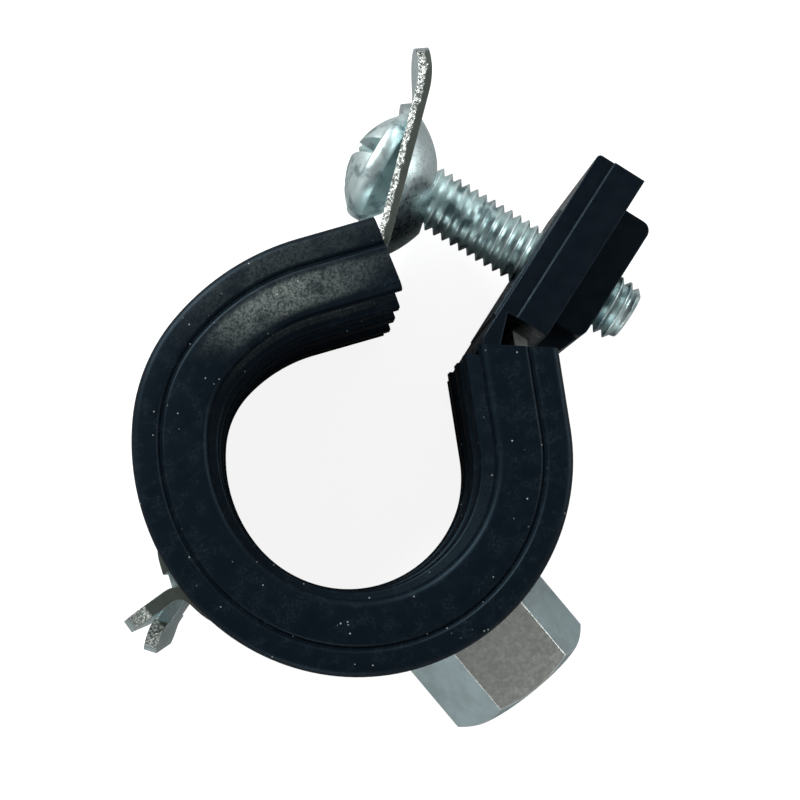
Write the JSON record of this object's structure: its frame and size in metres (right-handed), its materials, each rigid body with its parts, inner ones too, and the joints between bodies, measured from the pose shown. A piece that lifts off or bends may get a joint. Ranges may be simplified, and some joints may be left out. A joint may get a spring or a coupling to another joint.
{
  "type": "rubber lined pipe clamp",
  "caption": "Two-part steel pipe clamp with a ribbed rubber liner, a hooked hinge, a clamping screw held in a plastic lock and a welded hanger nut.",
  "frame": {"origin": "centre of the pipe bore, within half a millimetre, at the middle of the clamp's width", "axes": "+Z along the bore, +X toward the mouth between the two arms, -Y out of the hanger nut"},
  "size_m": [0.0635, 0.0541, 0.024],
  "materials": {
    "rubber": "matt, dusty",
    "strap_steel": "zinc plated",
    "nut_steel": "zinc plated",
    "screw_steel": "zinc plated, glossy",
    "black_plastic": "satin"
  },
  "bodies": {
    "lower_half": {"lower_strap": "strap_steel", "liner": "rubber", "combination_nut": "nut_steel", "lock_housing": "black_plastic", "lock_nut": "nut_steel"},
    "upper_half": {"upper_strap": "strap_steel"},
    "screw": {"clamping_screw": "screw_steel"}
  },
  "joints": [
    {"name": "clamp_hinge", "type": "hinge", "parent": "lower_half", "child": "upper_half", "pos_m": [-0.0236, 0.0009, 0], "axis": [0, 0, 1], "range_deg": [-13, 1], "deforming": ["liner"]},
    {"name": "screw_advance", "type": "slide", "parent": "lower_half", "child": "screw", "axis": [0.3223, -0.9466, 0], "range_m": [-0.001, 0.0115]}
  ],
  "couplings": [
    {"joint": "screw_advance", "follows": "clamp_hinge", "m_per_rad": -0.0476}
  ]
}
